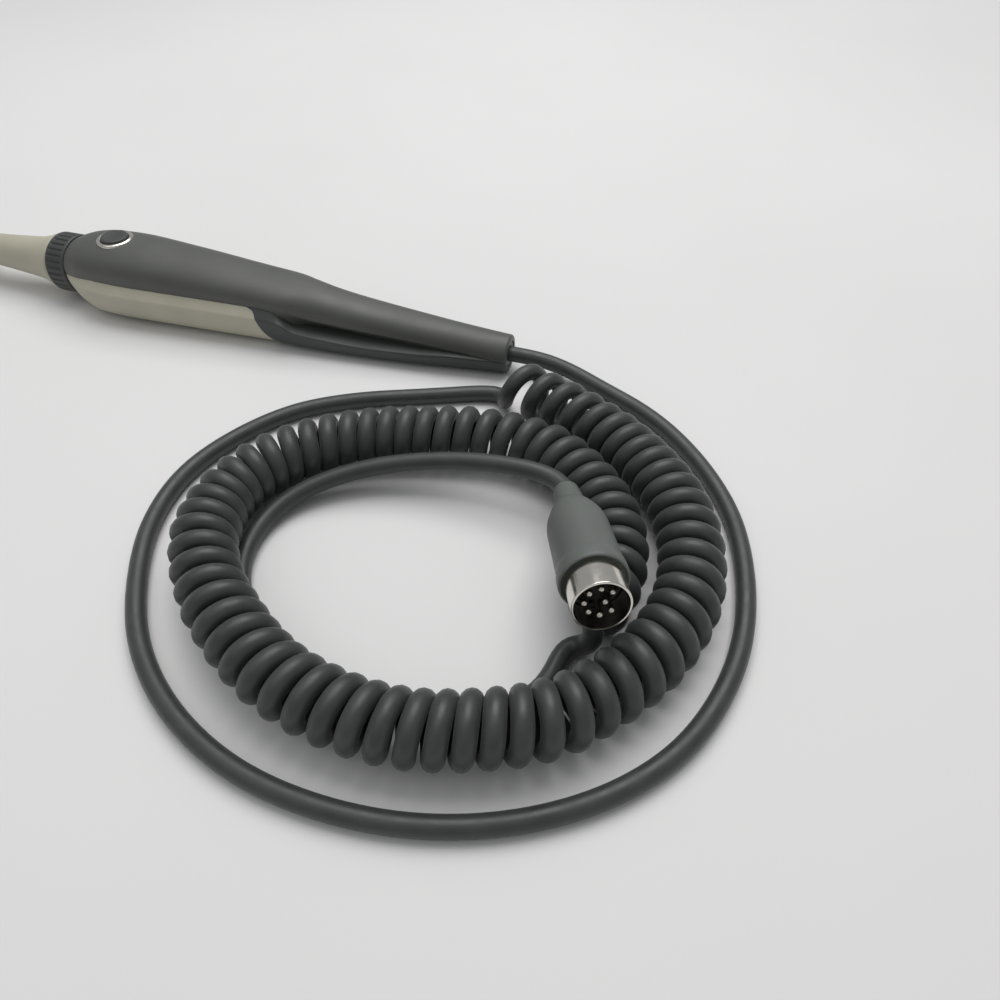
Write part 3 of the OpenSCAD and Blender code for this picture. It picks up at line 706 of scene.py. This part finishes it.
def tray_side(x):
    """Right half of the lower body's section, from the middle of the belly to the parting line."""
    half, top, low = value_at(TRAY_HALF, x), value_at(WALL_TOP, x), value_at(FLOOR, x)
    power = value_at(TRAY_POWER, x)
    out = []
    for k in range(24):
        a = math.radians(90 - 90 * k / 24)
        y = half * math.cos(a) ** (2 / power)
        z = max(low, top - (top - low + 0.5) * math.sin(a) ** (2 / power))
        out.append(Vector((y, min(z, top - 0.7))))
    corner = Vector((half, top))
    shelf = Vector((min(half - 0.02, value_at(SHELF_HALF, x)), value_at(SHELF_Z, x) - SEAM))
    reach = min(0.55, (shelf - corner).length * 0.4)
    out += bend(Vector((half, top - 2)), corner, shelf, reach)
    last = out[-1]
    out += [last.lerp(shelf, t) for t in (0.35, 0.7, 0.94, 1)]
    return out


def crown_side(x):
    """Right half of the cover's section, from the parting line to the middle of the crown."""
    foot, half, base = value_at(SHELF_HALF, x), value_at(CROWN_HALF, x), value_at(CROWN_BASE, x)
    top, power = value_at(CROWN_TOP, x), value_at(CROWN_POWER, x)
    low = value_at(SHELF_Z, x) + SEAM
    out = []
    for k in range(10):
        t = k / 10
        out.append(Vector((foot + (half - foot) * smoothstep(t), low + (base - low) * t)))
    for k in range(29):
        a = math.radians(90 * k / 28)
        y = half * math.cos(a) ** (2 / power)
        out.append(Vector((y, base + (top - base) * math.sin(a) ** (2 / power))))
    return out


def across(half, start_low):
    """Whole section from its right half, mirrored about the middle."""
    left = [Vector((-p.x, p.y)) for p in half]
    if start_low:
        return list(reversed(left)) + half[1:]
    return half[:-1] + list(reversed(left))


def pulled(section, centre, inset):
    """Section moved towards a point on the middle line by inset."""
    middle = Vector((0, centre))
    return [p - (p - middle).normalized() * inset for p in section]


def onto_circle(section, centre, radius):
    """Section carried onto a circle about a point on the middle line."""
    middle = Vector((0, centre))
    return [middle + (p - middle).normalized() * radius for p in section]


def spaced(start, end, gap):
    """Places from start up to, but not at, end, about gap apart."""
    count = max(1, round((end - start) / gap))
    return [start + (end - start) * k / count for k in range(count)]


def stations():
    """Places along the casing, closer together where its shape changes faster."""
    return (spaced(FRONT_X, -40, 0.65) + spaced(-40, 18, 2) + spaced(18, 35.2, 1.2)
            + spaced(35.2, 46, 0.5) + spaced(46, 104, 2) + spaced(104, TAIL_X - END_ROUND, 0.85))


def casing_rows(side, start_low):
    """Sections from the front wall, along the body, and round the edge of the tail's end face."""
    rows = []
    front = across(side(FRONT_X), start_low)
    for radius in (7.6, 8.4, 9.2):
        rows.append((FRONT_X, onto_circle(front, AXIS_Z, radius)))
    for x in stations():
        rows.append((x, across(side(x), start_low)))
    end_x = TAIL_X - END_ROUND
    end = across(side(end_x), start_low)
    for k in range(7):
        a = math.radians(15 * k)
        inset = END_ROUND * (1 - math.cos(a))
        rows.append((end_x + END_ROUND * math.sin(a), pulled(end, TAIL_Z, inset)))
    for radius in (4.9, 4.3):
        rows.append((TAIL_X, onto_circle(end, TAIL_Z, radius)))
    return rows


def thickened(obj):
    """Gives a casing skin its wall, inwards."""
    wall = obj.modifiers.new("wall", "SOLIDIFY")
    wall.thickness = WALL * MM
    wall.offset = -1
    apply_modifiers(obj)


def as_points(rows):
    """Sections in millimetres as rows of points in metres."""
    return [[Vector((x, p.x, p.y)) * MM for p in section] for x, section in rows]


def outward(obj, inside):
    """Turns an open skin's faces away from a point inside it."""
    mesh = obj.data
    middle = mesh.polygons[len(mesh.polygons) // 2]
    if middle.normal.dot(middle.center - Vector(inside)) < 0:
        mesh.flip_normals()


def drill(x, radius, start, end):
    """A round cutter that stands upright at x, from one height to another in millimetres."""
    outline = [(0, start), (radius, start), (radius, end), (0, end)]
    return lathe("drill", outline, Matrix.Translation((x, 0, 0)), closed=False)


def middle_x(node):
    """Middle of a CAD part along the handpiece."""
    low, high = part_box(node)
    return (low.x + high.x) / 2


def make_cover():
    """Dark cover with the hole for the button's bezel."""
    cover = grid_object("cover", as_points(casing_rows(crown_side, False)))
    outward(cover, (0.02, 0, 0.012))
    thickened(cover)
    hole = drill(middle_x("button_bezel"), BEZEL_SEAT_R, 10, 40)
    cut(cover, hole)
    shade(cover, 40)
    dress(cover, "taupe_plastic")
    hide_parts("upper_cover")


def split_rows(front):
    """Lower body's sections on one side of the line between its two shells."""
    rows = casing_rows(tray_side, True)
    count = len(rows[0][1])
    gap = -SPLIT_GAP if front else SPLIT_GAP
    columns = []
    for j in range(count):
        x = 26.0
        for _ in range(6):
            x = value_at(SPLIT, across(tray_side(x), True)[j].y)
        columns.append(x + gap)
    kept = [row for row in rows if (row[0] < SPLIT_FROM if front else row[0] > SPLIT_TO)]
    points = as_points(kept)
    edge_x = kept[-1][0] if front else kept[0][0]
    bridge = []
    for k in range(1, 11):
        t = k / 10
        line = []
        for j in range(count):
            x = edge_x + (columns[j] - edge_x) * t
            p = across(tray_side(x), True)[j]
            line.append(Vector((x, p.x, p.y)) * MM)
        bridge.append(line)
    return points + bridge if front else list(reversed(bridge)) + points


def make_lower_shells():
    """The pale lower shell and the dark tail shell, each with a point inside it."""
    for name, front, inside, look, node in (
        ("belly_shell", True, (0, 0, 0.012), "beige_plastic", "lower_shell"),
        # the rear shell's slate is painted darker than its plastic, as painted shade for its side
        ("rear_shell", False, (0.07, 0, 0.006), "slate_plastic", "tail_shell"),
    ):
        shell = grid_object(name, split_rows(front))
        outward(shell, inside)
        thickened(shell)
        shade(shell, 40)
        dress(shell, look)
        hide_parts(node)


def lying(height):
    """Placement that lays a turned piece along the handpiece, with its axis at a height."""
    return Matrix.Translation((0, 0, height * MM)) @ Matrix.Rotation(math.pi / 2, 4, "Y")


def make_bush():
    """Rubber bush that closes the tail round the cord, nearly flush with the end face."""
    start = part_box("cord_grommet")[0].x / MM
    bore = CORD_R + 0.02
    bush = lathe("tail_bush", [
        (bore, start), (4.5, start), (4.5, 103), (4.25, 103), (4.25, TAIL_X - 0.25, 0.3),
        (3.1, TAIL_X - 0.1, 0.4), (bore, TAIL_X - 0.6, 0.2),
    ], lying(TAIL_Z))
    dress(bush, "cord_rubber")
    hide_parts("cord_grommet")


make_cover()
make_lower_shells()
make_bush()

# ---------------------------------------------------------------- neck, head and focus ring

ALONG = lying(AXIS_Z)
RING_RIBS = 30
RING_BORE_R = 8.55
# Where the barrel ends in the head, and its radius there
NECK_END_X = -98
NECK_END_R = 5.4


def make_focus_ring():
    """Grip ring with thirty soft ribs, chamfered at both ends, on its bore."""
    low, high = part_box("focus_ring")
    start, end = low.x / MM, high.x / MM
    outer = (high.z - low.z) / 2 / MM
    bore = RING_BORE_R
    sides = RING_RIBS * 12
    rows = []
    for x, depth, r in (
        (start, 0, bore), (start, 0, outer - 0.7), (start + 0.15, 0, outer - 0.25),
        (start + 0.5, 0, outer), (start + 1.0, 0, outer), (start + 1.3, 0.3, outer),
        (start + 1.9, 0.45, outer), (end - 1.9, 0.45, outer), (end - 1.3, 0.3, outer),
        (end - 1.0, 0, outer), (end - 0.5, 0, outer), (end - 0.15, 0, outer - 0.25),
        (end, 0, outer - 0.7), (end, 0, bore),
    ):
        row = []
        for k in range(sides):
            a = 2 * math.pi * k / sides
            groove = max(0.0, math.cos(RING_RIBS * a)) ** 0.7
            reach = r - depth * groove
            row.append(ALONG @ Vector((reach * MM * math.cos(a), reach * MM * math.sin(a), x * MM)))
        rows.append(row)
    ring = grid_object("grip_ring", rows, wrap_rows=True, wrap_points=True)
    shade(ring, 30)
    dress(ring, "ring_plastic", "focus_ring")
    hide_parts("focus_ring")


def make_neck():
    """Slim barrel with a flange in front of the ring, hollow as the real one."""
    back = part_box("neck_tube")[1].x / MM
    neck = lathe("neck_barrel", [
        (7.05, back), (7.5, back, 0.2), (7.5, -53), (8.5, -53), (8.5, -61.6), (9.2, -61.6, 0.4),
        (9.6, -62.2, 0.5), (9.6, -63.6, 0.6), (9, -64.4, 0.8), (7.5, -70, 4), (6.2, -85),
        (NECK_END_R, NECK_END_X, 0.15), (4.7, NECK_END_X), (4.7, -101), (4, -101), (4, -65),
        (7.05, -65),
    ], ALONG, sides=128)
    dress(neck, "beige_plastic")
    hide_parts("neck_tube")


def make_head():
    """Rounded drum that blends into the barrel, with a round pocket for its window and lights."""
    x = middle_x("light_ring")
    middle = AXIS_Z * MM
    hull = bmesh.new()
    for k in range(96):
        a = 2 * math.pi * k / 96
        for i in range(9):
            b = math.radians(90 * i / 8)
            r = (5.0 + 1.4 * math.cos(b)) * MM
            for sign in (-1, 1):
                z = middle + sign * (3.4 + 1.6 * math.sin(b)) * MM
                hull.verts.new((x + r * math.cos(a), r * math.sin(a), z))
        r = NECK_END_R * MM
        hull.verts.new((NECK_END_X * MM, r * math.cos(a), middle + r * math.sin(a)))
    result = bmesh.ops.convex_hull(hull, input=hull.verts)
    spare = [v for v in result["geom_interior"] if isinstance(v, bmesh.types.BMVert)]
    bmesh.ops.delete(hull, geom=spare, context="VERTS")
    mesh = bpy.data.meshes.new("head_shell")
    hull.to_mesh(mesh)
    hull.free()
    head = add_object("head_shell", mesh)
    cut(head, drill(x, 4.85, 14.9, 30))
    shade(head, 30)
    dress(head, "beige_plastic")
    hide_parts("head_housing")


make_focus_ring()
make_neck()
make_head()

# ---------------------------------------------------------------- capture button

BUTTON = Matrix.Translation((middle_x("capture_button"), 0, 0))
SPRING_R = 0.0025
SPRING_WIRE_R = 0.0003
SPRING_TURNS = 7
SPRING_SIDES = 24


def make_button():
    """Dished cap on its flange and stem."""
    low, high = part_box("capture_button")
    top, foot = high.z / MM, low.z / MM
    cap = lathe("button_cap", [
        (0, foot), (1.5, foot, 0.2), (1.5, 22.2), (5.3, 22.2, 0.15), (5.3, 23, 0.15), (4.6, 23),
        (4.6, top - 0.1, 0.6), (3.6, top - 0.02, 0.8), (1.8, top - 0.35, 1.2), (0, top - 0.4),
    ], BUTTON, closed=False)
    dress(cap, "ring_plastic", "capture_button")
    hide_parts("capture_button")


def make_bezel():
    """Rounded nickel rim round the button."""
    rim = lathe("button_rim", [
        (4.65, 23.3, 0.1), (6.2, 23.3, 0.1), (6.2, 24.9, 0.7), (5.3, 25.3, 0.8), (4.65, 25.0, 0.25),
        (4.65, 23.3),
    ], BUTTON, closed=False)
    dress(rim, "plug_nickel")
    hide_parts("button_bezel")


def make_spring():
    """Coil spring under the button's flange."""
    low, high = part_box("button_spring")
    bottom = low.z + SPRING_WIRE_R
    rise = high.z - SPRING_WIRE_R - bottom
    steps = SPRING_TURNS * SPRING_SIDES
    centre = Vector((BUTTON.translation.x, 0, 0))
    rings = []
    for k in range(steps + 1):
        a = 2 * math.pi * k / SPRING_SIDES
        out = Vector((math.cos(a), math.sin(a), 0))
        middle = centre + SPRING_R * out + Vector((0, 0, bottom + rise * smoothstep(k / steps)))
        rings.append([
            middle + SPRING_WIRE_R * (math.cos(b) * out + math.sin(b) * UP)
            for b in (2 * math.pi * j / 10 for j in range(10))
        ])
    spring = grid_object("return_spring", rings, wrap_points=True)
    shade(spring)
    dress(spring, "steel")
    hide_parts("button_spring")
    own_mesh(spring)


make_button()
make_bezel()
make_spring()

# ---------------------------------------------------------------- floor and light


def make_stage():
    """Pale worktop, a large soft light above and behind, a weaker one in front, and an even sky."""
    mesh = bpy.data.meshes.new("worktop")
    reach = 4.0
    corners = [(-reach, -reach, 0), (reach, -reach, 0), (reach, reach, 0), (-reach, reach, 0)]
    mesh.from_pydata(corners, [], [(0, 1, 2, 3)])
    floor = add_object("worktop", mesh)
    n = Nodes("worktop")
    tone = n.spread(n.noise(0.25, 3), 0, 1)
    n.link(n.colours(tone, (0.71, 0.705, 0.7), (0.75, 0.745, 0.74)), n.shader.inputs["Base Color"])
    n.shader.inputs["Roughness"].default_value = 0.6
    mesh.materials.append(n.material)
    for name, place, aim, size, power in (
        ("window_light", (0.05, 0.42, 1.0), (0.1, -0.05, 0), 0.9, 9.2),
        ("fill_light", (-0.3, -0.3, 1.1), (0.1, -0.1, 0), 0.9, 1.6),
    ):
        light = bpy.data.lights.new(name, "AREA")
        light.size = size
        light.energy = power
        lamp = bpy.data.objects.new(name, light)
        lamp.location = place
        lamp.rotation_mode = "QUATERNION"
        lamp.rotation_quaternion = (Vector(aim) - Vector(place)).to_track_quat("-Z", "Y")
        bpy.context.scene.collection.objects.link(lamp)
    world = bpy.data.worlds.new("sky")
    world.use_nodes = True
    sky = world.node_tree.nodes["Background"]
    sky.inputs["Color"].default_value = (0.97, 0.985, 1, 1)
    sky.inputs["Strength"].default_value = 0.36
    bpy.context.scene.world = world
    bpy.context.scene.view_settings.view_transform = "Standard"


make_stage()
